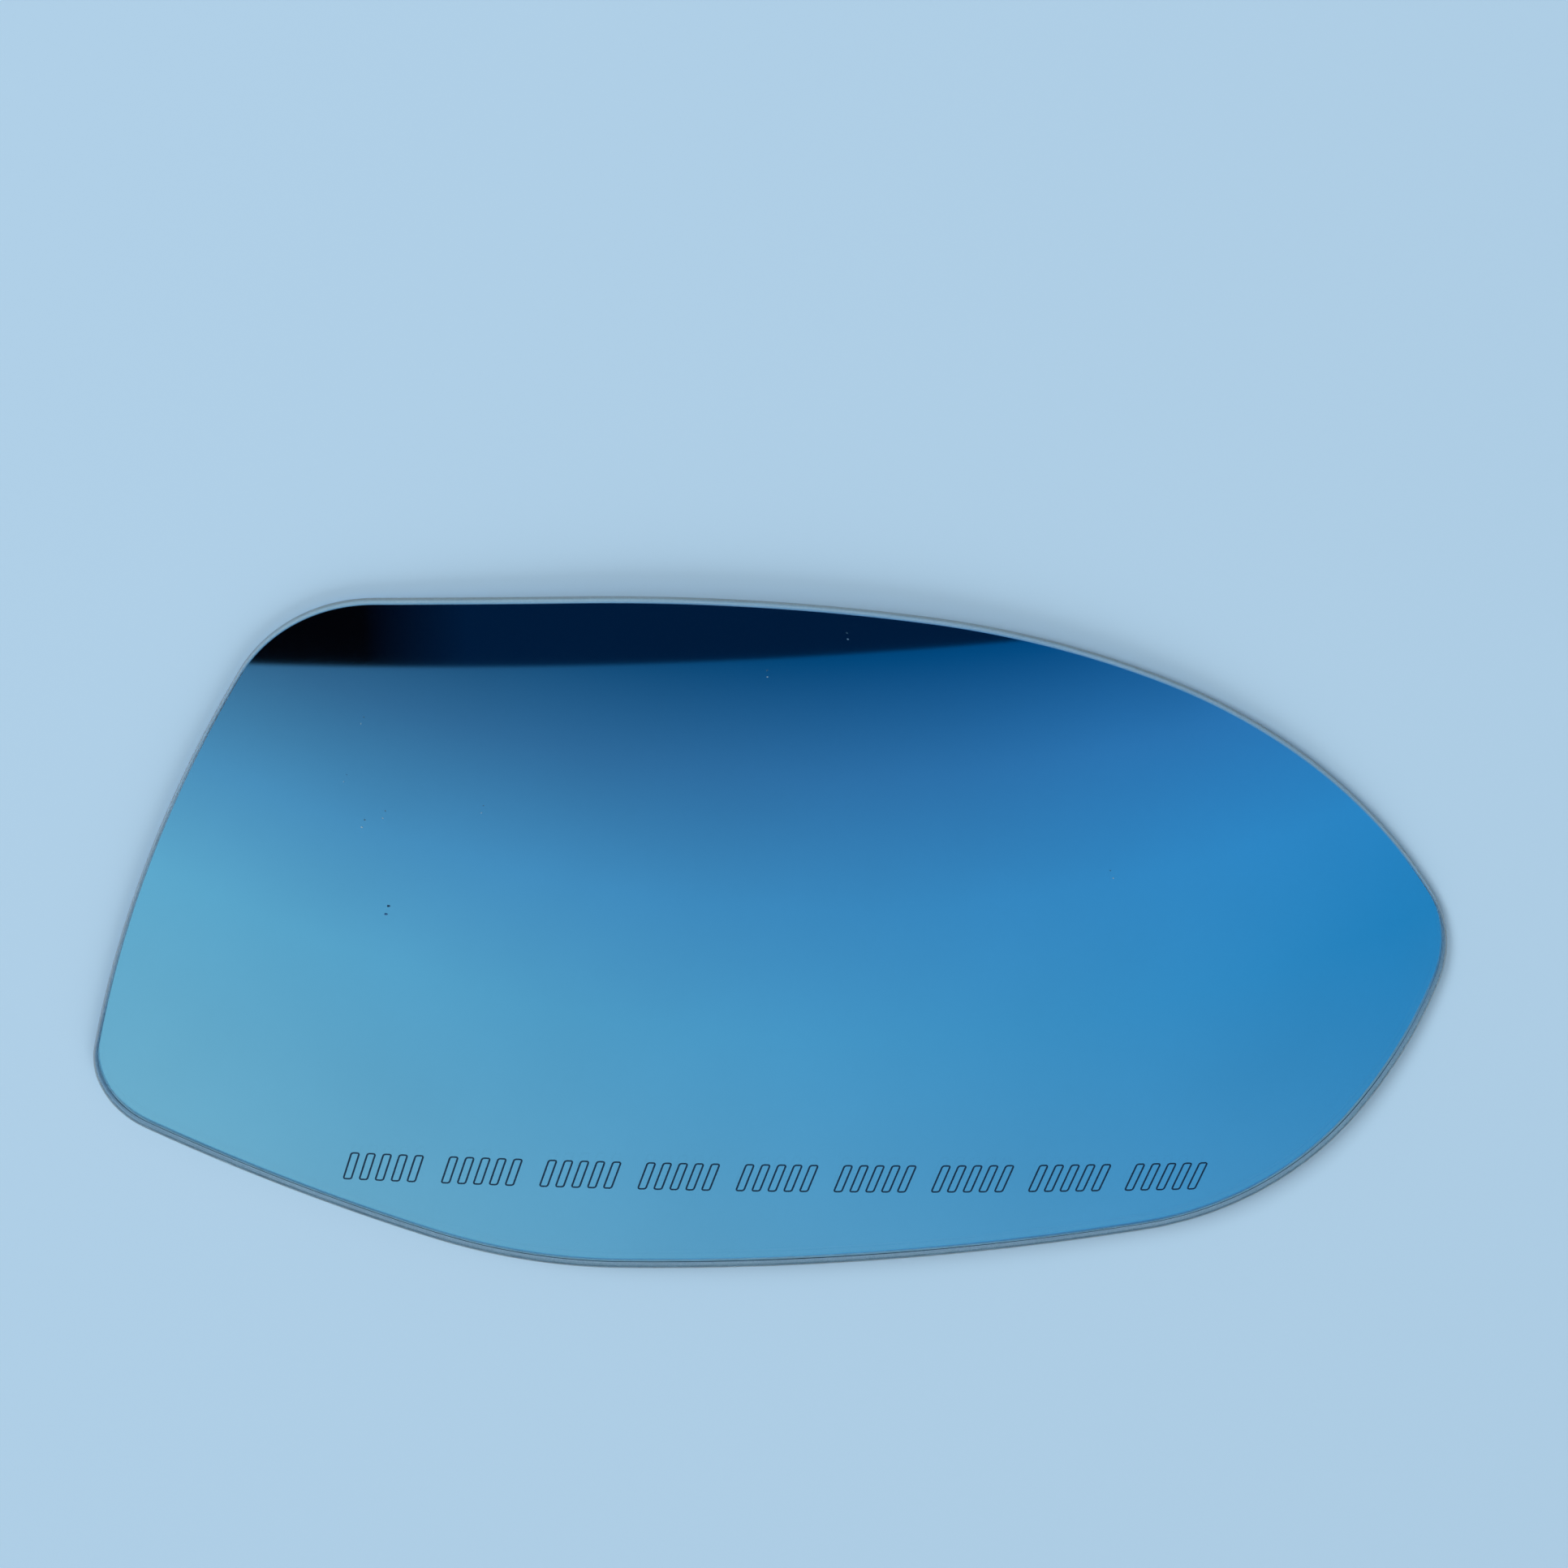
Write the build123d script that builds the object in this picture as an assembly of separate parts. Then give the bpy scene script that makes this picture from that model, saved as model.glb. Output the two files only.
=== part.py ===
"""Door mirror glass: one pane of bent, silvered glass with a ground and rounded rim.

The pane lies as it rests on a table, convex face up, on three corners of its rim.
X runs along the pane towards its tip, Y from the bottom edge to the top edge, Z up.
"""

import os
from math import asin, degrees

from build123d import *

# Driving dimensions, millimetres and degrees.
# The pane.
GLASS_THICKNESS = 1.8
FACE_RADIUS = 1070.0  # spherical radius of the convex front face
FRONT_ARRIS = 0.5  # rounding of the rim's front edge
BACK_ARRIS = 0.6  # rounding of the rim's back edge

# Sharp corners of the outline, each measured from the sharp lower left corner.
UPPER_LEFT_X = 38.0
UPPER_LEFT_Y = 77.4
TIP_X = 198.3
TIP_Y = 18.7
BOTTOM_LEFT_X = 62.1
BOTTOM_LEFT_Y = -30.35

# The lower right corner hangs from the tip, and the top edge starts at the upper left corner.
TIP_OVERHANG = 28.5  # how far the tip stands out past the lower right corner
TIP_DROP = 45.85  # how far the lower right corner lies below the tip
TOP_RUN = 39.1  # length of the straight part of the top edge, along X
TOP_FALL = 0.8  # how far it falls over that length

# The falling top edge: two tangent arcs, then a third that runs to the tip.
SHOULDER_RADIUS = 277.0
SHOULDER_TURN = 9.6
BROW_RADIUS = 130.7
BROW_TURN = 14.8

# The bowed edges between the corners.
LOWER_RIGHT_RADIUS = 72.9
BOTTOM_RADIUS = 504.0
SLOPE_RADIUS = 360.0
LEFT_RADIUS = 215.0

# The corner roundings.
UPPER_LEFT_CORNER = 22.8
TIP_CORNER = 18.4
LOWER_RIGHT_CORNER = 43.7
BOTTOM_LEFT_CORNER = 81.6
LOWER_LEFT_CORNER = 12.1

# How finely the rim is searched for the points that the pane rests on.
RIM_SAMPLES = 720
SETTLE_STEPS = 8

BLANK_MARGIN = 1.2  # the bent blank is this much wider than the pane cut from it

LOWER_LEFT = Vector(0, 0)
UPPER_LEFT = Vector(UPPER_LEFT_X, UPPER_LEFT_Y)
TOP_END = UPPER_LEFT + Vector(TOP_RUN, -TOP_FALL)
TIP = Vector(TIP_X, TIP_Y)
LOWER_RIGHT = TIP - Vector(TIP_OVERHANG, TIP_DROP)
BOTTOM_LEFT = Vector(BOTTOM_LEFT_X, BOTTOM_LEFT_Y)


def pane_outline():
    """The flat outline, clockwise from the upper left corner: bowed edges and rounded corners."""
    top = Line(UPPER_LEFT, TOP_END)
    shoulder = JernArc(top @ 1, top % 1, SHOULDER_RADIUS, -SHOULDER_TURN)
    brow = JernArc(shoulder @ 1, shoulder % 1, BROW_RADIUS, -BROW_TURN)
    fall = TangentArc(brow @ 1, TIP, tangent=brow % 1)
    lower_right = RadiusArc(TIP, LOWER_RIGHT, LOWER_RIGHT_RADIUS)
    bottom = RadiusArc(LOWER_RIGHT, BOTTOM_LEFT, BOTTOM_RADIUS)
    slope = RadiusArc(BOTTOM_LEFT, LOWER_LEFT, SLOPE_RADIUS)
    left = RadiusArc(LOWER_LEFT, UPPER_LEFT, LEFT_RADIUS)
    outline = make_face([top, shoulder, brow, fall, lower_right, bottom, slope, left])
    corners = (
        (UPPER_LEFT, UPPER_LEFT_CORNER),
        (TIP, TIP_CORNER),
        (LOWER_RIGHT, LOWER_RIGHT_CORNER),
        (BOTTOM_LEFT, BOTTOM_LEFT_CORNER),
        (LOWER_LEFT, LOWER_LEFT_CORNER),
    )
    for corner, radius in corners:
        outline = fillet(outline.vertices().sort_by_distance(corner)[0], radius)
    return outline


def circle_centre(a, b, c):
    """Centre of the circle through three points of the XY plane."""
    ab = b - a
    ac = c - a
    cross = 2 * (ab.X * ac.Y - ab.Y * ac.X)
    x = (ac.Y * ab.dot(ab) - ab.Y * ac.dot(ac)) / cross
    y = (ab.X * ac.dot(ac) - ac.X * ab.dot(ab)) / cross
    return a + Vector(x, y)


def crown_point(outline):
    """Where the dome's crown lies over the outline, so that the three far corners rest level.

    A dome's rim is lowest where it is farthest from the crown, so the crown is the centre
    of the circle through the farthest rim point of each of the three corners.
    """
    feet = (UPPER_LEFT, LOWER_LEFT, TIP)
    wire = outline.face().outer_wire()
    rim = [wire.position_at(i / RIM_SAMPLES) for i in range(RIM_SAMPLES)]
    nearest = [min(feet, key=lambda foot: (point - foot).length) for point in rim]
    zones = [[p for p, owner in zip(rim, nearest) if owner is foot] for foot in feet]
    crown = outline.face().center()
    for _ in range(SETTLE_STEPS):
        crown = circle_centre(*(max(zone, key=lambda p: (p - crown).length) for zone in zones))
    reach = max((point - crown).length for point in rim)
    return crown, reach


def bent_blank(crown, reach):
    """A wide piece of the bent glass: its curved section, revolved about the dome's centre."""
    half_angle = degrees(asin(BLANK_MARGIN * reach / FACE_RADIUS))
    sag_plane = Plane(crown - (0, 0, FACE_RADIUS), x_dir=(1, 0, 0), z_dir=(0, -1, 0))
    front = CenterArc((0, 0), FACE_RADIUS, 90 - half_angle, 2 * half_angle)
    back = CenterArc((0, 0), FACE_RADIUS - GLASS_THICKNESS, 90 - half_angle, 2 * half_angle)
    section = make_face([front, back, Line(front @ 0, back @ 0), Line(front @ 1, back @ 1)])
    swing = Axis(sag_plane.origin, (1, 0, 0))
    section = (sag_plane * section).rotate(swing, -half_angle)
    return revolve(section, swing, 2 * half_angle)


def broad_faces(pane):
    """The pane's concave back face and convex front face, in that order."""
    return pane.faces().sort_by(SortBy.AREA)[-2:].sort_by(Axis.Z)


def mirror_glass():
    """The pane: bent blank cut to the outline, rim rounded front and back, set on the floor."""
    outline = pane_outline()
    crown, reach = crown_point(outline)
    column = extrude(outline, reach, both=True)
    pane = bent_blank(crown, reach) & column
    pane = fillet(broad_faces(pane)[1].edges(), FRONT_ARRIS)
    pane = fillet(broad_faces(pane)[0].edges(), BACK_ARRIS)
    box = pane.bounding_box()
    return Pos(-box.center().X, -box.center().Y, -box.min.Z) * pane


os.makedirs("parts", exist_ok=True)
export_step(mirror_glass(), "parts/mirror_glass.step")
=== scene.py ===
"""Looks of a car door mirror glass: a bent pane with a chrome coat on its back and a ground rim.

Lengths are millimetres, turned into metres where Blender takes them. The pane lies on the floor,
convex face up, with X along it towards the tip and Y from the bottom edge to the top edge.
"""

import bpy
import numpy as np
from mathutils import Matrix, Vector


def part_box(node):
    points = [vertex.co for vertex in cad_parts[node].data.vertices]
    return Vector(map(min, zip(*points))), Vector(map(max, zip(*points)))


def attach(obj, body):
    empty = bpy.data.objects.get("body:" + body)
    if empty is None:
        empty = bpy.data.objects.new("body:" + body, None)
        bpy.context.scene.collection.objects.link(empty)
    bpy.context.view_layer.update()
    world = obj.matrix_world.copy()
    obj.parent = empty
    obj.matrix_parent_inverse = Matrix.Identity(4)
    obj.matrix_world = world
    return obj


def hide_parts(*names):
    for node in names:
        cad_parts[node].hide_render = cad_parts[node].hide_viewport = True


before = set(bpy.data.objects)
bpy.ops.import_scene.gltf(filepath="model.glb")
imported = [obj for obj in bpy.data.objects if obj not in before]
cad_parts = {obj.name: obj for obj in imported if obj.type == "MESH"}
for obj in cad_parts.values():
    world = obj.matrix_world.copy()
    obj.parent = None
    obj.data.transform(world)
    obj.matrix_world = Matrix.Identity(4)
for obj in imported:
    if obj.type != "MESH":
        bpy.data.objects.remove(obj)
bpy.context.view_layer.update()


# The pane
# One sheet of 1.8 mm float glass, bent over a dome, cut to a teardrop outline and ground
# along its rim. The hollow back carries the bare chrome coat that makes it a mirror.
MM = 0.001
GLASS_THICKNESS = 1.8
FACE_RADIUS = 1070.0
COAT_RADIUS = FACE_RADIUS - GLASS_THICKNESS
FRONT_ARRIS = 0.5
BACK_ARRIS = 0.6

# Sharp corners of the outline, from the lower left one, and the end of the top's straight part.
LOWER_LEFT = np.array([0.0, 0.0])
UPPER_LEFT = np.array([38.0, 77.4])
TOP_END = UPPER_LEFT + [39.1, -0.8]
TIP = np.array([198.3, 18.7])
LOWER_RIGHT = TIP - [28.5, 45.85]
BOTTOM_LEFT = np.array([62.1, -30.35])

# The bowed edges between those corners.
STRAIGHT_RADIUS = 1.0e6  # an arc this wide stands for the straight part of the top edge
SHOULDER_RADIUS = 277.0
SHOULDER_TURN = np.radians(9.6)
BROW_RADIUS = 130.7
BROW_TURN = np.radians(14.8)
LOWER_RIGHT_RADIUS = 72.9
BOTTOM_RADIUS = 504.0
SLOPE_RADIUS = 360.0
LEFT_RADIUS = 215.0

# The roundings of the corners.
UPPER_LEFT_CORNER = 22.8
TIP_CORNER = 18.4
LOWER_RIGHT_CORNER = 43.7
BOTTOM_LEFT_CORNER = 81.6
LOWER_LEFT_CORNER = 12.1

# How finely the surface is divided.
RIM_STEP = 0.6  # spacing of the points along the rim
FEWEST_STEPS = 4  # in any arc of the rim
FACE_RINGS = 28
ROUND_STEPS = 7
WALL_STEPS = 4

SETTLE_STEPS = 8  # tries at the place of the crown


def unit(vectors):
    """Vectors of the last axis, divided by their lengths."""
    return vectors / np.linalg.norm(vectors, axis=-1, keepdims=True)


def to_the_right(heading):
    """A flat heading turned a quarter turn clockwise, which points into the pane."""
    return np.array([heading[1], -heading[0]])


def edge_onward(point, heading, radius):
    """An edge that leaves a point along a heading: its centre lies one radius to the right."""
    return point + radius * to_the_right(heading), radius


def edge_between(start, end, radius):
    """An edge through two corners: its centre lies right of the chord's middle by Pythagoras."""
    chord = end - start
    half = np.linalg.norm(chord) / 2
    return (start + end) / 2 + to_the_right(unit(chord)) * np.sqrt(radius**2 - half**2), radius


def turned_end(edge, start, turn):
    """Where an edge ends, and its heading there, after turning clockwise from its start."""
    centre, _ = edge
    spoke = start - centre
    spoke = np.cos(turn) * spoke + np.sin(turn) * to_the_right(spoke)
    return centre + spoke, to_the_right(unit(spoke))


def corner_rounding(before, after, corner, radius):
    """The arc of a rounded corner, which touches both edges from inside.

    Its centre is as far from each edge's centre as their radii differ, and of the two
    such points it is the one nearer to the sharp corner.
    """
    (centre_a, radius_a), (centre_b, radius_b) = before, after
    span = np.linalg.norm(centre_b - centre_a)
    along = unit(centre_b - centre_a)
    reach_a = radius_a - radius
    reach_b = radius_b - radius
    foot = (span**2 + reach_a**2 - reach_b**2) / (2 * span)
    height = np.sqrt(reach_a**2 - foot**2)
    sides = [centre_a + foot * along + side * height * to_the_right(along) for side in (-1, 1)]
    return min(sides, key=lambda centre: np.linalg.norm(centre - corner)), radius


def touch(outer, inner):
    """Where a rounding meets its edge: on the line from the edge's centre through its own."""
    return outer[0] + outer[1] * unit(inner[0] - outer[0])


def arc_points(edge, start, end):
    """Points and outward normals from start, clockwise along an edge, up to just before end."""
    centre, radius = edge
    first = start - centre
    last = end - centre
    turn = np.arctan2(last[0] * first[1] - last[1] * first[0], first @ last)
    steps = max(FEWEST_STEPS, int(np.ceil(radius * turn / RIM_STEP)))
    angles = np.arctan2(first[1], first[0]) - turn * np.arange(steps) / steps
    normals = np.stack([np.cos(angles), np.sin(angles)], axis=1)
    return centre + radius * normals, normals


def pane_outline():
    """The rim seen from above, clockwise: eight bowed edges and the five roundings between them."""
    heading = unit(TOP_END - UPPER_LEFT)
    top = edge_onward(TOP_END, heading, STRAIGHT_RADIUS)
    shoulder = edge_onward(TOP_END, heading, SHOULDER_RADIUS)
    shoulder_end, heading = turned_end(shoulder, TOP_END, SHOULDER_TURN)
    brow = edge_onward(shoulder_end, heading, BROW_RADIUS)
    brow_end, heading = turned_end(brow, shoulder_end, BROW_TURN)
    to_tip = TIP - brow_end
    fall_radius = to_tip @ to_tip / (2 * to_tip @ to_the_right(heading))
    fall = edge_onward(brow_end, heading, fall_radius)
    lower_right = edge_between(TIP, LOWER_RIGHT, LOWER_RIGHT_RADIUS)
    bottom = edge_between(LOWER_RIGHT, BOTTOM_LEFT, BOTTOM_RADIUS)
    slope = edge_between(BOTTOM_LEFT, LOWER_LEFT, SLOPE_RADIUS)
    left = edge_between(LOWER_LEFT, UPPER_LEFT, LEFT_RADIUS)

    upper_left_round = corner_rounding(left, top, UPPER_LEFT, UPPER_LEFT_CORNER)
    tip_round = corner_rounding(fall, lower_right, TIP, TIP_CORNER)
    lower_right_round = corner_rounding(lower_right, bottom, LOWER_RIGHT, LOWER_RIGHT_CORNER)
    bottom_left_round = corner_rounding(bottom, slope, BOTTOM_LEFT, BOTTOM_LEFT_CORNER)
    lower_left_round = corner_rounding(slope, left, LOWER_LEFT, LOWER_LEFT_CORNER)

    run = (
        (upper_left_round, touch(left, upper_left_round)),
        (top, touch(top, upper_left_round)),
        (shoulder, TOP_END),
        (brow, shoulder_end),
        (fall, brow_end),
        (tip_round, touch(fall, tip_round)),
        (lower_right, touch(lower_right, tip_round)),
        (lower_right_round, touch(lower_right, lower_right_round)),
        (bottom, touch(bottom, lower_right_round)),
        (bottom_left_round, touch(bottom, bottom_left_round)),
        (slope, touch(slope, bottom_left_round)),
        (lower_left_round, touch(slope, lower_left_round)),
        (left, touch(left, lower_left_round)),
    )
    starts = [start for _, start in run]
    ends = starts[1:] + starts[:1]
    arcs = [arc_points(edge, start, end) for (edge, start), end in zip(run, ends)]
    return np.concatenate([points for points, _ in arcs]), np.concatenate([n for _, n in arcs])


def crown_of(rim):
    """Where the dome's crown lies over the rim: as far from each of the three resting corners."""
    feet = np.stack([UPPER_LEFT, LOWER_LEFT, TIP])
    owner = np.linalg.norm(rim[:, None] - feet, axis=2).argmin(axis=1)
    crown = rim.mean(axis=0)
    for _ in range(SETTLE_STEPS):
        reach = np.linalg.norm(rim - crown, axis=1)
        a, b, c = (rim[np.where(owner == foot, reach, 0).argmax()] for foot in range(len(feet)))
        rows = 2 * np.stack([b - a, c - a])
        crown = np.linalg.solve(rows, [b @ b - a @ a, c @ c - a @ a])
    return crown


def on_dome(flat, radius):
    """Flat points lifted on a sphere about the origin: z is the root of the radius left over."""
    return np.concatenate([flat, np.sqrt(radius**2 - (flat**2).sum(-1, keepdims=True))], axis=-1)


def pane_surface():
    """Points and normals of the pane, a section carried round the rim, and the rim's headings out.

    Each row follows the rim. From the crown the rows run out over the front dome, round the
    front arris, down the upright wall, round the back arris and in again over the back dome.
    The origin is the centre of both domes.
    """
    rim, outward = pane_outline()
    rim = rim - crown_of(rim)
    wall_normal = np.concatenate([outward, np.zeros((len(rim), 1))], axis=1)
    front_hub = on_dome(rim - FRONT_ARRIS * outward, FACE_RADIUS - FRONT_ARRIS)
    back_hub = on_dome(rim - BACK_ARRIS * outward, COAT_RADIUS + BACK_ARRIS)

    rings = np.linspace(0, 1, FACE_RINGS + 1)[:, None, None]
    front_edge = (front_hub * FACE_RADIUS / (FACE_RADIUS - FRONT_ARRIS))[:, :2]
    back_edge = (back_hub * COAT_RADIUS / (COAT_RADIUS + BACK_ARRIS))[:, :2]
    front = on_dome(rings * front_edge, FACE_RADIUS)
    back = on_dome(rings[::-1] * back_edge, COAT_RADIUS)

    quarter = np.linspace(0, 1, ROUND_STEPS + 1)[:, None, None]
    front_turn = unit((1 - quarter) * unit(front_hub) + quarter * wall_normal)
    back_turn = unit((1 - quarter) * wall_normal - quarter * unit(back_hub))
    front_round = front_hub + FRONT_ARRIS * front_turn
    back_round = back_hub + BACK_ARRIS * back_turn
    share = np.linspace(0, 1, WALL_STEPS + 1)[1:-1, None, None]
    wall = (1 - share) * front_round[-1] + share * back_round[0]

    points = np.concatenate([front, front_round[1:], wall, back_round, back[1:]])
    normals = np.concatenate([
        unit(front),
        front_turn[1:],
        np.broadcast_to(wall_normal, wall.shape),
        back_turn,
        -unit(back[1:]),
    ])
    return points, normals, outward


def poles_and_rings(grid):
    """A grid's rows as one flat list, its first and last rows cut down to the pole that each is."""
    return np.concatenate([grid[:1, 0], grid[1:-1].reshape(-1, *grid.shape[2:]), grid[-1:, 0]])


def skin_faces(rows, columns, front_pole=0):
    """Faces of the skin over poles and rings: a fan, bands of quads from ring to ring, a fan."""
    column = np.arange(columns)
    beside = (column + 1) % columns
    first_ring = front_pole + 1
    last_ring = first_ring + (rows - 3) * columns
    back_pole = last_ring + columns
    ring = first_ring + np.arange(rows - 3)[:, None] * columns
    bands = np.stack([ring + column, ring + beside, ring + columns + beside, ring + columns + column], -1)
    front_fan = np.stack([np.full_like(column, front_pole), first_ring + beside, first_ring + column], -1)
    back_fan = np.stack([np.full_like(column, back_pole), last_ring + column, last_ring + beside], -1)
    return front_fan.tolist() + bands.reshape(-1, 4).tolist() + back_fan.tolist()


def new_piece(name, points, faces, smooth):
    """An object at the origin whose mesh has these points, in millimetres, and these faces."""
    mesh = bpy.data.meshes.new(name)
    mesh.from_pydata(points * MM, [], faces, shade_flat=not smooth)
    piece = bpy.data.objects.new(name, mesh)
    bpy.context.scene.collection.objects.link(piece)
    return piece


def set_measure(piece, name, values):
    """Gives each point of a piece one number, which its finish can read."""
    piece.data.attributes.new(name, "FLOAT", "POINT").data.foreach_set("value", values)


# The pane lies where its solid lies: over the same middle, on the same lowest point.
points, normals, outward = pane_surface()
low, high = points.min(axis=(0, 1)), points.max(axis=(0, 1))
box_low, box_high = (np.array(corner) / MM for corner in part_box("mirror_glass"))
dome_centre = (box_low + box_high) / 2 - (low + high) / 2
dome_centre[2] = box_low[2] - low[2]
points = points + dome_centre
rows, columns, _ = points.shape

# How far each point lies past the coat's edge, along its section. It is less than nothing on the rim.
coat_row = rows - 1 - FACE_RINGS
section_steps = np.linalg.norm(np.diff(points, axis=0), axis=2)
past_edge = np.concatenate([np.zeros((1, columns)), section_steps.cumsum(axis=0)])
past_edge = past_edge - past_edge[coat_row]

# How far a dark band reaches in under the coat from its edge: only where the rim faces down the pane.
DARK_EDGE_REACH = 0.18
DARK_EDGE_STARTS = 0.15  # the share of its heading that points down where the dark band starts
DARK_EDGE_FULL = 0.55  # and where it reaches all the way
damp = DARK_EDGE_REACH * np.clip((-outward[:, 1] - DARK_EDGE_STARTS) / (DARK_EDGE_FULL - DARK_EDGE_STARTS), 0, 1)
damp = np.broadcast_to(damp, past_edge.shape)

# The steps of the section that each finish takes, from the crown outwards: polished face, front seam,
# wall, back seam, coat. The wall's finish, with its darker tones of painted shade, goes on round the
# first part of the back arris.
WALL_OVERRUN = 3
FINISH_STEPS = (
    FACE_RINGS,
    ROUND_STEPS,
    WALL_STEPS + WALL_OVERRUN,
    ROUND_STEPS - WALL_OVERRUN,
    FACE_RINGS,
)
finish_bands = np.repeat(np.arange(len(FINISH_STEPS)), FINISH_STEPS)

pane = new_piece("bent_pane", poles_and_rings(points), skin_faces(rows, columns), smooth=True)
pane.data.polygons.foreach_set("material_index", np.repeat(finish_bands, columns))
pane.data.normals_split_custom_set_from_vertices(poles_and_rings(normals))
set_measure(pane, "past_edge", poles_and_rings(past_edge))
set_measure(pane, "damp", poles_and_rings(damp))


class Signal:
    """One socket of a shader. Arithmetic on signals adds Math nodes to their tree."""

    def __init__(self, socket):
        self.socket = socket

    @classmethod
    def node(cls, tree, kind, settings=None, inputs=None, output=0):
        """Adds a node, applies its settings, then sets or links its inputs; gives one output.

        The setting called stops is a colour ramp's positions and colours.
        """
        made = tree.nodes.new(kind)
        for name, value in (settings or {}).items():
            if name == "stops":
                ramp = made.color_ramp
                while len(ramp.elements) < len(value):
                    ramp.elements.new(1.0)
                for element, (position, colour) in zip(ramp.elements, value):
                    element.position = position
                    element.color = (*colour, 1.0)
            else:
                setattr(made, name, value)
        for key, value in (inputs or {}).items():
            if isinstance(value, cls):
                tree.links.new(value.socket, made.inputs[key])
            else:
                made.inputs[key].default_value = value
        return cls(made.outputs[output])

    def parts(self):
        """The three parts of a vector."""
        split = self.node(self.socket.id_data, "ShaderNodeSeparateXYZ", {}, {0: self})
        return [Signal(part) for part in split.socket.node.outputs]

    def math(self, operation, *terms):
        """A Math node of that operation on this signal and the terms."""
        inputs = dict(enumerate((self, *terms)))
        return self.node(self.socket.id_data, "ShaderNodeMath", {"operation": operation}, inputs)

    def clamped(self):
        """This signal, held between nought and one."""
        return self.math("MAXIMUM", 0.0).math("MINIMUM", 1.0)

    def __add__(self, other):
        return self.math("ADD", other)

    __radd__ = __add__

    def __sub__(self, other):
        return self.math("SUBTRACT", other)

    def __rsub__(self, other):
        return (self * -1.0) + other

    def __mul__(self, other):
        return self.math("MULTIPLY", other)

    __rmul__ = __mul__

    def __truediv__(self, other):
        return self.math("DIVIDE", other)


def new_finish(name):
    """A material with an empty node tree, and that tree."""
    material = bpy.data.materials.new(name)
    material.use_nodes = True
    material.node_tree.nodes.clear()
    return material, material.node_tree


def to_surface(tree, shader, kind="ShaderNodeOutputMaterial"):
    """Joins a shader to the surface of a new output node."""
    output = tree.nodes.new(kind)
    tree.links.new(shader.socket, output.inputs["Surface"])


def place_on_piece(tree):
    """Where a point lies, in the object's own metres."""
    return Signal.node(tree, "ShaderNodeTexCoord", output="Object")


def measure(tree, name):
    """The number that set_measure gave each point under that name."""
    return Signal.node(tree, "ShaderNodeAttribute", {"attribute_name": name}, output="Fac")


def noise(tree, place, scale, detail, roughness=0.5, distortion=0.0):
    """Cloudy noise from nought to one. Its scale is how many clouds there are to a unit of the place."""
    return Signal.node(tree, "ShaderNodeTexNoise", {}, {
        "Vector": place,
        "Scale": scale,
        "Detail": detail,
        "Roughness": roughness,
        "Distortion": distortion,
    })


def blend(tree, share, first, second):
    """Two colours mixed by a share, on the colour sockets of a Mix node."""
    return Signal.node(tree, "ShaderNodeMix", {"data_type": "RGBA"}, {0: share, 6: first, 7: second}, 2)


GLASS_TINT = (0.94, 0.99, 0.97, 1.0)
GLASS_IOR = 1.52
SMEAR_ROUGHNESS = 0.012


def clear_glass(tree, roughness):
    """The shader of the glass itself, clear and faintly green."""
    return Signal.node(tree, "ShaderNodeBsdfPrincipled", {}, {
        "Base Color": GLASS_TINT,
        "Roughness": roughness,
        "IOR": GLASS_IOR,
        "Transmission Weight": 1.0,
    })


def polished_glass():
    """Clear glass, with wiped-on smears that take a little off the polish."""
    material, tree = new_finish("polished_glass")
    smears = noise(tree, place_on_piece(tree), scale=28.0, detail=5.0, roughness=0.62, distortion=1.4)
    to_surface(tree, clear_glass(tree, SMEAR_ROUGHNESS * smears))
    return material


RIM_LENGTH = np.pi / 2 * (FRONT_ARRIS + BACK_ARRIS) + GLASS_THICKNESS - FRONT_ARRIS - BACK_ARRIS
SEAM_FADE = 0.35  # over this much of the front arris the polish gives way to the frosting
SEAM_ROUGHNESS = 0.05  # of the polish there
LINES_ALONG = 60.0  # grinding lines to a metre along the rim
LINES_ACROSS = 7.0  # and to a millimetre across it
LINES_SHARE = 0.6  # of the wear, where the rest is grain
WEAR_STARTS = 0.36  # this much noise is no wear
WEAR_RANGE = 0.28  # and this much more is full wear
WEAR_ROUGHNESS = 0.25
WEAR_DEPTH = 0.05


def ground_glass(name, milkiness, roughness, dark, light):
    """The rim as the grinding wheel left it: frosted, grainy, with fine lines along the edge.

    The glass is still clear where the front arris begins, and frosted all through past the fade.
    """
    material, tree = new_finish(name)
    place = place_on_piece(tree)
    past = measure(tree, "past_edge")
    x, y, _ = place.parts()
    run = Signal.node(tree, "ShaderNodeCombineXYZ", {}, {
        "X": LINES_ALONG * x,
        "Y": LINES_ALONG * y,
        "Z": LINES_ACROSS * past,
    })
    lines = noise(tree, run, scale=1.0, detail=3.0, roughness=0.6)
    grain = noise(tree, place, scale=4500.0, detail=2.0)
    wear = LINES_SHARE * lines + (1.0 - LINES_SHARE) * grain
    wear = ((wear - WEAR_STARTS) / WEAR_RANGE).clamped()
    bump = Signal.node(tree, "ShaderNodeBump", {}, {
        "Strength": 0.5,
        "Distance": WEAR_DEPTH * MM,
        "Height": wear,
    })
    ground = Signal.node(tree, "ShaderNodeBsdfPrincipled", {}, {
        "Base Color": blend(tree, wear, dark, light),
        "Roughness": roughness + WEAR_ROUGHNESS * wear,
        "IOR": GLASS_IOR,
        "Transmission Weight": 1.0 - milkiness,
        "Normal": bump,
    })
    clear = clear_glass(tree, SEAM_ROUGHNESS)
    frost = ((past + RIM_LENGTH) / SEAM_FADE).clamped()
    to_surface(tree, Signal.node(tree, "ShaderNodeMixShader", {}, {0: frost, 1: clear, 2: ground}))
    return material


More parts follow.
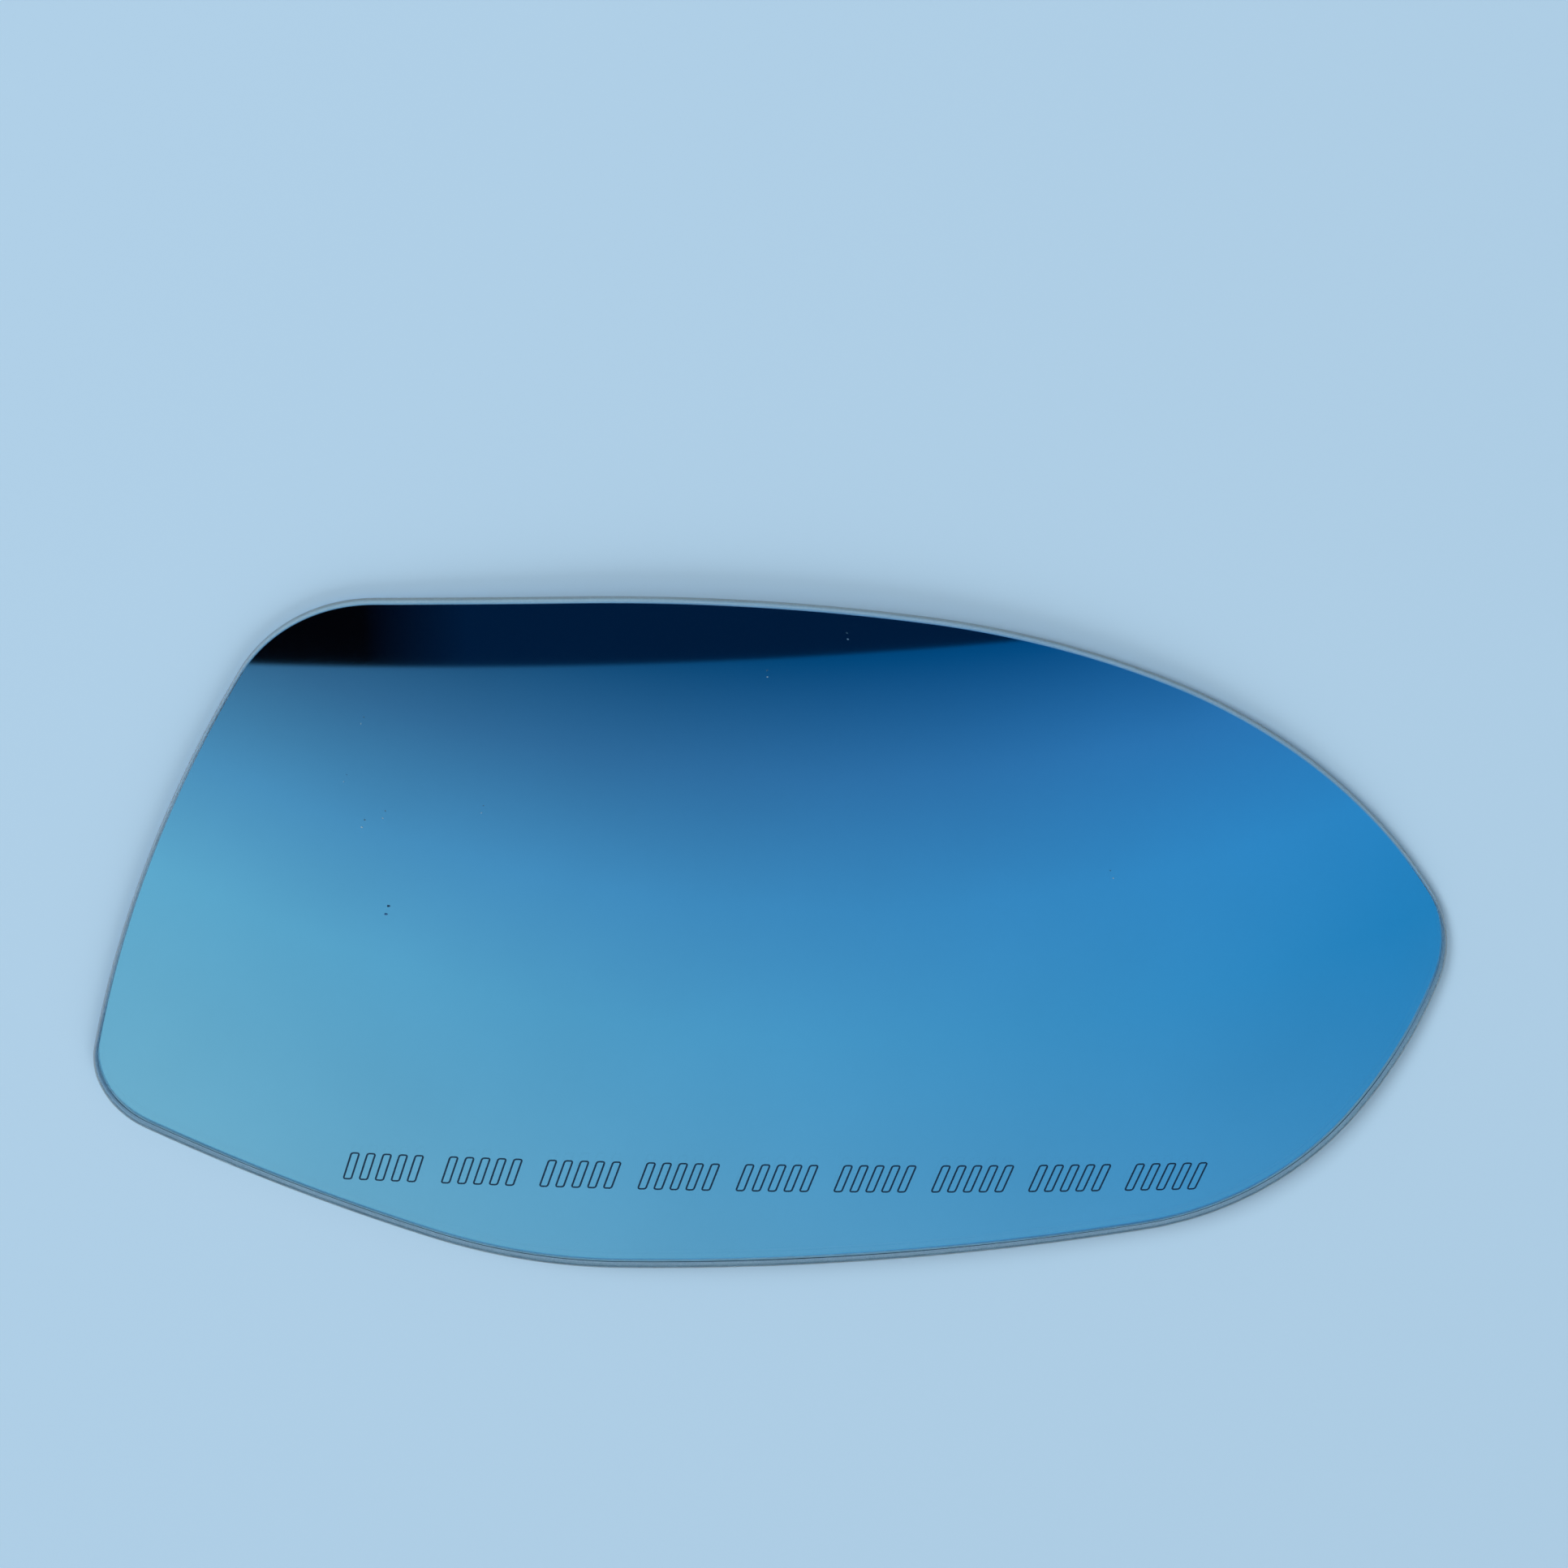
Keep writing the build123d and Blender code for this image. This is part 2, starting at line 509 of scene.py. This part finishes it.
FILM_DEEP = (0.51, 0.57, 0.555, 1.0)
FILM_BRIGHT = (0.61, 0.67, 0.655, 1.0)
# A lighter colour for the rough band near the coat's edge: painted light that brightens the shaded strip
# there.
FILM_DULL_AND_LIT = (0.88, 0.94, 0.92, 1.0)
# Dark along the coat's edge where the rim faces down the pane.
FILM_DARK_EDGE = (0.03, 0.04, 0.05, 1.0)
FILM_ROUGHNESS = 0.02
DULL_ROUGHNESS = 0.65
DULL_AND_LIT_REACH = 0.65  # past the dark band the film is rough and lighter with painted light, up to here
DULL_AND_LIT_FADE = 0.25
STAIN_FADE = 0.05


def chrome_coat():
    """The chrome film on the back, seen through the glass and bare from behind.

    Along its edge where the rim faces down: dark, then rougher and lighter with painted light, then
    whole.
    """
    material, tree = new_finish("chrome_coat")
    past = measure(tree, "past_edge")
    damp = measure(tree, "damp")
    clouds = noise(tree, place_on_piece(tree), scale=24.0, detail=3.0)
    # A rougher band past the dark edge. Its roughness is real dulling; its lighter colour is painted
    # light on a shaded strip.
    dull_and_lit = ((DULL_AND_LIT_REACH - past) / DULL_AND_LIT_FADE).clamped() * (damp / DARK_EDGE_REACH)
    film = blend(tree, dull_and_lit, blend(tree, clouds, FILM_DEEP, FILM_BRIGHT), FILM_DULL_AND_LIT)
    # Dark along the coat's edge, as far in as the dark band reaches.
    past_dark_edge = ((past - damp) / STAIN_FADE + 1.0).clamped()
    shader = Signal.node(tree, "ShaderNodeBsdfPrincipled", {}, {
        "Base Color": blend(tree, past_dark_edge, FILM_DARK_EDGE, film),
        "Metallic": 1.0,
        "Roughness": FILM_ROUGHNESS + DULL_ROUGHNESS * dull_and_lit,
    })
    to_surface(tree, shader)
    return material


# In the order of FINISH_STEPS. The blue tint of the three rim finishes is painted light of blue
# surroundings.
finishes = (
    polished_glass(),
    ground_glass(
        "front_seam",
        milkiness=0.24,
        roughness=0.70,
        dark=(0.50, 0.64, 0.74, 1.0),
        light=(0.84, 0.95, 1.00, 1.0),
    ),
    # Darker tones than the seams: painted shade on the wall.
    ground_glass(
        "ground_wall",
        milkiness=0.28,
        roughness=0.45,
        dark=(0.36, 0.45, 0.50, 1.0),
        light=(0.72, 0.80, 0.82, 1.0),
    ),
    ground_glass(
        "back_seam",
        milkiness=0.30,
        roughness=0.40,
        dark=(0.50, 0.57, 0.62, 1.0),
        light=(1.00, 1.00, 1.00, 1.0),
    ),
    chrome_coat(),
)
for finish in finishes:
    pane.data.materials.append(finish)
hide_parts("mirror_glass")
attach(pane, "root")


# The etched row
# Slanted bars burnt out of the coat as thin outlines, low on the pane, in even groups.
# Each line goes through the film, so it shows dark from the front and from behind.
ROW_MIDDLE = np.array([0.36, -38.78])
ROW_TILT = np.radians(-3.73)
GROUPS = 9
BARS_IN_GROUP = 5
BAR_PITCH = 2.35
GROUP_GAP = 2.7
BAR_WIDTH = 1.15
BAR_HEIGHT = 4.7
BAR_SLANT = 0.3  # how far a bar leans to the right, for each unit of height
BAR_ROUND = 0.3
LINE_WIDTH = 0.27
LINE_DEPTH = 0.04
ROUND_POINTS = 4
BURNT_BLACK = (0.001, 0.003, 0.020, 1.0)
BURNT_BLUE = (0.002, 0.010, 0.060, 1.0)


def bar_path():
    """A slanted bar about the origin: a rounded oblong's arcs, each point pushed over by its height."""
    angles = np.linspace(0, np.pi / 2, ROUND_POINTS) + np.arange(4)[:, None] * np.pi / 2
    spokes = np.stack([np.cos(angles), np.sin(angles)], -1)
    half = np.array([BAR_WIDTH, BAR_HEIGHT]) / 2 - BAR_ROUND
    hubs = np.array([[1, 1], [-1, 1], [-1, -1], [1, -1]]) * half
    path = (hubs[:, None] + BAR_ROUND * spokes).reshape(-1, 2)
    return path + path[:, 1:] * [BAR_SLANT, 0]


def etched_bars():
    """All the bars: a thin square section carried round the outline, at each place of the row."""
    path = bar_path()
    heading = unit(np.roll(path, -1, axis=0) - np.roll(path, 1, axis=0))
    sideways = np.stack([heading[:, 1], -heading[:, 0]], -1)
    sides = LINE_WIDTH / 2 * np.array([-1, 1, 1, -1])
    levels = LINE_DEPTH / 2 * np.array([1, 1, -1, -1])
    flat = path[:, None] + sideways[:, None] * sides[:, None]
    places = np.arange(GROUPS * BARS_IN_GROUP)
    starts = BAR_PITCH * places + GROUP_GAP * (places // BARS_IN_GROUP)
    starts = (starts - starts.mean())[:, None, None, None]
    row_along = np.array([np.cos(ROW_TILT), np.sin(ROW_TILT)])
    row_up = np.array([-np.sin(ROW_TILT), np.cos(ROW_TILT)])
    bars = ROW_MIDDLE + (starts + flat[..., :1]) * row_along + flat[..., 1:] * row_up
    on_coat = on_dome(bars - dome_centre[:2], COAT_RADIUS)
    return on_coat + unit(on_coat) * levels[:, None] + dome_centre


def ring_faces(shape):
    """Faces of closed tubes: each quad joins a section's side to the next section, round and round."""
    index = np.arange(np.prod(shape)).reshape(shape)
    beside = np.roll(index, -1, axis=2)
    ahead = np.roll(index, -1, axis=1)
    ahead_beside = np.roll(ahead, -1, axis=2)
    return np.stack([index, beside, ahead_beside, ahead], -1).reshape(-1, 4).tolist()


def burnt_line():
    """Where the film is gone: dark, with a little of the film left in specks."""
    material, tree = new_finish("burnt_line")
    grains = noise(tree, place_on_piece(tree), scale=6000.0, detail=2.0)
    shader = Signal.node(tree, "ShaderNodeBsdfPrincipled", {}, {
        "Base Color": blend(tree, grains, BURNT_BLACK, BURNT_BLUE),
        "Roughness": 0.6,
    })
    to_surface(tree, shader)
    return material


bars = etched_bars()
etched_row = new_piece("etched_row", bars.reshape(-1, 3), ring_faces(bars.shape[:3]), smooth=False)
etched_row.data.materials.append(burnt_line())
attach(etched_row, "root")


# The dust
# A few motes of grit that lie on the polished face: two dark, the rest pale, both kinds tinted blue
# with painted light. Each is a lump no bigger than a grain of sand, and nothing holds it but its own
# weight.
MOTES = np.array([
    # along X, along Y, size, paleness
    (-52.5, 8.3, 0.42, 0.0),
    (-54.5, 21.8, 0.26, 1.0),
    (-51.5, 23.1, 0.20, 0.8),
    (-53.1, 37.2, 0.17, 0.7),
    (-56.3, 28.7, 0.15, 0.6),
    (-37.9, 23.6, 0.18, 0.7),
    (1.9, 42.2, 0.20, 0.7),
    (12.8, 47.1, 0.26, 0.2),
    (48.9, 9.4, 0.20, 0.7),
])
MOTE_ROWS = 7
MOTE_COLUMNS = 10
MOTE_HEIGHT = 0.6  # of its size
MOTE_LUMPS = 0.22  # how far its waist swells and shrinks, of its size
MOTE_SEAT = 0.25  # how high its middle lies over the face, of its size
# Both grit colours are tinted blue: painted light of blue surroundings.
GRIT_DARK_BLUE_LIT = (0.02, 0.14, 0.34, 1.0)
GRIT_PALE_BLUE_LIT = (0.46, 0.66, 0.76, 1.0)
GRIT_MOTTLE = 0.3


def dust_motes():
    """Lumps on the face: balls squashed in height, with a waist that swells and shrinks round them."""
    tilt = np.linspace(0, np.pi, MOTE_ROWS)[:, None]
    turn = np.linspace(0, 2 * np.pi, MOTE_COLUMNS, endpoint=False)
    which = np.arange(len(MOTES))[:, None, None]
    waist = 1 + MOTE_LUMPS * np.cos(2 * turn + which) + MOTE_LUMPS / 2 * np.cos(3 * turn - 2 * which)
    ball = np.stack(np.broadcast_arrays(
        np.sin(tilt) * np.cos(turn) * waist,
        np.sin(tilt) * np.sin(turn) * waist,
        MOTE_HEIGHT * np.cos(tilt) * np.ones_like(waist),
    ), axis=-1) / 2
    size = MOTES[:, 2, None, None, None]
    seats = on_dome(MOTES[:, :2] - dome_centre[:2], FACE_RADIUS)
    seats = seats + unit(seats) * MOTE_SEAT * MOTES[:, 2:3] + dome_centre
    return seats[:, None, None] + size * ball


def grit():
    """Matt grit that lets some light through, from dark to pale, mottled, tinted blue with painted light.
    """
    material, tree = new_finish("grit")
    mottle = noise(tree, place_on_piece(tree), scale=9000.0, detail=2.0)
    share = (measure(tree, "paleness") + GRIT_MOTTLE * (mottle - 0.5)).clamped()
    shader = Signal.node(tree, "ShaderNodeBsdfPrincipled", {}, {
        "Base Color": blend(tree, share, GRIT_DARK_BLUE_LIT, GRIT_PALE_BLUE_LIT),
        "Roughness": 0.7,
        "IOR": 1.3,
        "Transmission Weight": 0.5,
    })
    to_surface(tree, shader)
    return material


mote_points = np.concatenate([poles_and_rings(mote) for mote in dust_motes()])
points_in_mote = len(mote_points) // len(MOTES)
mote_faces = []
for first_point in range(0, len(mote_points), points_in_mote):
    mote_faces += skin_faces(MOTE_ROWS, MOTE_COLUMNS, first_point)
dust = new_piece("dust_motes", mote_points, mote_faces, smooth=True)
set_measure(dust, "paleness", np.repeat(MOTES[:, 3], points_in_mote))
dust.data.materials.append(grit())
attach(dust, "root")


# The floor
# A plain pale sheet, matt and flat, that the pane lies on. It isn't part of the object.
FLOOR_HALF = 3000.0
FLOOR_COLOUR = (0.42, 0.61, 0.78, 1.0)


def pale_floor():
    """Matt pale blue-grey."""
    material, tree = new_finish("pale_floor")
    shader = Signal.node(tree, "ShaderNodeBsdfPrincipled", {}, {
        "Base Color": FLOOR_COLOUR,
        "Roughness": 0.9,
        "Specular IOR Level": 0.1,
    })
    to_surface(tree, shader)
    return material


floor_corners = FLOOR_HALF * np.array([(-1, -1, 0), (1, -1, 0), (1, 1, 0), (-1, 1, 0)])
floor = new_piece("floor", floor_corners, [(0, 1, 2, 3)], smooth=False)
floor.data.materials.append(pale_floor())


# The studio
# Plain soft light for everything matt. What mirrors and glass show instead is the backdrop: pale
# at the horizon, deeper blue higher up, paler on the left, then a dark panel and a pale lit ceiling.
# Its angles are degrees, and its places are parts of a look of length one.
HORIZON = 1e-3  # the least height of a look, so that nothing is divided by nought

# The panel overhead, which runs from left to right.
PANEL_EDGE = 17.38  # from straight up to its lower edge
PANEL_TILT = 0.6  # how far that edge sinks, for each unit to the left
PANEL_BLUR = 0.1
PANEL_TOP = 9.0  # from straight up to its upper edge, where the ceiling starts
PANEL_REACH = 0.5  # how far it runs to each side, for each unit of height
PANEL_BLACK_END = -0.235  # left of here it is blacker
PANEL_FADE = 0.06
PANEL_BLACK = (0.001, 0.0012, 0.003, 1.0)
PANEL_BLUE = (0.0006, 0.016, 0.065, 1.0)

# The ceiling past it.
CEILING_BLUR = 2.0
CEILING_REACH = 40.0  # from straight up to where it has faded out on its far side
CEILING_COLOUR = (0.50, 0.75, 0.98, 1.0)

# The sky, from the panel's edge down to the horizon: the colours of each side, by the angle from
# straight up.
SKY_ANGLES = (17.5, 22.0, 27.0, 32.0, 60.0, 90.0)
SKY_LEFT = (
    (0.00, 0.06, 0.15), (0.06, 0.20, 0.41), (0.13, 0.44, 0.82),
    (0.20, 0.62, 1.00), (0.40, 0.74, 0.98), (0.90, 0.98, 1.00),
)
SKY_RIGHT = (
    (0.00, 0.12, 0.44), (0.04, 0.29, 0.80), (0.04, 0.37, 0.92),
    (0.03, 0.35, 0.85), (0.16, 0.48, 0.85), (0.70, 0.86, 1.00),
)
SKY_SPREAD = 0.72  # from where it is all left to where it is all right
SKY_BEND = 30.0  # how far its bands climb, for each square unit to a side
SKY_MIDDLE = 0.1

PLAIN_LIGHT = (1.0, 1.0, 1.0, 1.0)
PLAIN_STRENGTH = 0.4


def slope_angle(slope):
    """The angle, in degrees, whose tangent is a slope."""
    return slope.math("ARCTANGENT") * np.degrees(1.0)


def sky_side(tree, angle, colours):
    """One side of the sky: its colours, each at its angle."""
    stops = [(at / 90, colour) for at, colour in zip(SKY_ANGLES, colours)]
    return Signal.node(tree, "ShaderNodeValToRGB", {"stops": stops}, {0: angle / 90})


def backdrop(tree):
    """The backdrop's colour where a look meets it.

    The fall is the angle between the look and a line overhead, as long as the panel. Its tangent
    is the root of two squares: how far the look leans forwards, and how far it goes to a side past
    the line's end, both for each unit of height.
    """
    side, ahead, up = Signal.node(tree, "ShaderNodeTexCoord", output="Generated").parts()
    height = up.math("MAXIMUM", HORIZON)
    lean = ahead / height
    spread = (side.math("ABSOLUTE") / height - PANEL_REACH).math("MAXIMUM", 0.0)
    fall = slope_angle((lean * lean + spread * spread).math("SQRT"))

    off_middle = side - SKY_MIDDLE
    bent = fall + SKY_BEND * off_middle * off_middle
    across = (side / SKY_SPREAD + 0.5).clamped()
    sky = blend(tree, across, sky_side(tree, bent, SKY_LEFT), sky_side(tree, bent, SKY_RIGHT))

    past_black = ((side - PANEL_BLACK_END) / PANEL_FADE).clamped()
    panel = blend(tree, past_black, PANEL_BLACK, PANEL_BLUE)
    past_panel = ((fall + PANEL_TILT * side - PANEL_EDGE) / PANEL_BLUR + 0.5).clamped()
    past_top = ((PANEL_TOP - slope_angle(-1.0 * lean)) / CEILING_BLUR).clamped()
    ceiling = past_top * (1.0 - fall / CEILING_REACH).math("MAXIMUM", 0.0)
    around = blend(tree, ceiling, sky, CEILING_COLOUR)
    return blend(tree, past_panel.math("MAXIMUM", past_top), panel, around)


def studio():
    """The world's shader: the backdrop for rays that look at it, plain light for the rest."""
    world = bpy.data.worlds.new("studio")
    world.use_nodes = True
    tree = world.node_tree
    tree.nodes.clear()
    seen = Signal.node(tree, "ShaderNodeBackground", {}, {
        "Color": backdrop(tree),
        "Strength": 1.0,
    })
    plain = Signal.node(tree, "ShaderNodeBackground", {}, {
        "Color": PLAIN_LIGHT,
        "Strength": PLAIN_STRENGTH,
    })
    path = Signal.node(tree, "ShaderNodeLightPath").socket.node.outputs
    camera_ray = Signal(path["Is Camera Ray"])
    glossy_ray = Signal(path["Is Glossy Ray"])
    through_ray = Signal(path["Is Transmission Ray"])
    looking = camera_ray.math("MAXIMUM", glossy_ray).math("MAXIMUM", through_ray)
    light = Signal.node(tree, "ShaderNodeMixShader", {}, {0: looking, 1: plain, 2: seen})
    to_surface(tree, light, "ShaderNodeOutputWorld")
    return world


def soft_lamp(name, place, size, power):
    """A square lamp that faces the pane and shows in no mirror."""
    data = bpy.data.lights.new(name, "AREA")
    data.size = size * MM
    data.energy = power
    lamp = bpy.data.objects.new(name, data)
    lamp.location = Vector(place) * MM
    lamp.rotation_mode = "QUATERNION"
    lamp.rotation_quaternion = (-lamp.location).to_track_quat("-Z", "Y")
    lamp.visible_glossy = False
    lamp.visible_transmission = False
    bpy.context.scene.collection.objects.link(lamp)


bpy.context.scene.world = studio()
soft_lamp("key_lamp", place=(-2000.0, 2000.0, 2500.0), size=1600.0, power=90.0)
soft_lamp("fill_lamp", place=(1400.0, -4400.0, 2500.0), size=4500.0, power=150.0)
bpy.context.scene.view_settings.view_transform = "Standard"


# The camera
# It looks down on the pane from the side of the top edge, so the top edge is up in the picture.
# The lens is given by its focal length in pixels of a square picture, and by how wide that is.
CAMERA_PLACE = Vector((1.38, 196.09, 332.10)) * MM
CAMERA_AIM = Vector((3.61, 23.78, 0.0)) * MM
CAMERA_ROLL = np.radians(-2.15)
UP_THE_PANE = Vector((0.0, 1.0, 0.0))
FOCAL_PIXELS = 3334.6
PICTURE_PIXELS = 1932
SENSOR_WIDTH = 36.0
NEAREST_SEEN = 10.0

camera_data = bpy.data.cameras.new("camera")
camera_data.sensor_width = SENSOR_WIDTH
camera_data.lens = SENSOR_WIDTH * FOCAL_PIXELS / PICTURE_PIXELS
camera_data.clip_start = NEAREST_SEEN * MM
camera = bpy.data.objects.new("camera", camera_data)
backward = (CAMERA_PLACE - CAMERA_AIM).normalized()
right = UP_THE_PANE.cross(backward).normalized()
upward = backward.cross(right)
turn = Matrix((right, upward, backward)).transposed().to_4x4()
camera.matrix_world = Matrix.Translation(CAMERA_PLACE) @ turn @ Matrix.Rotation(CAMERA_ROLL, 4, "Z")
bpy.context.scene.collection.objects.link(camera)
bpy.context.scene.camera = camera
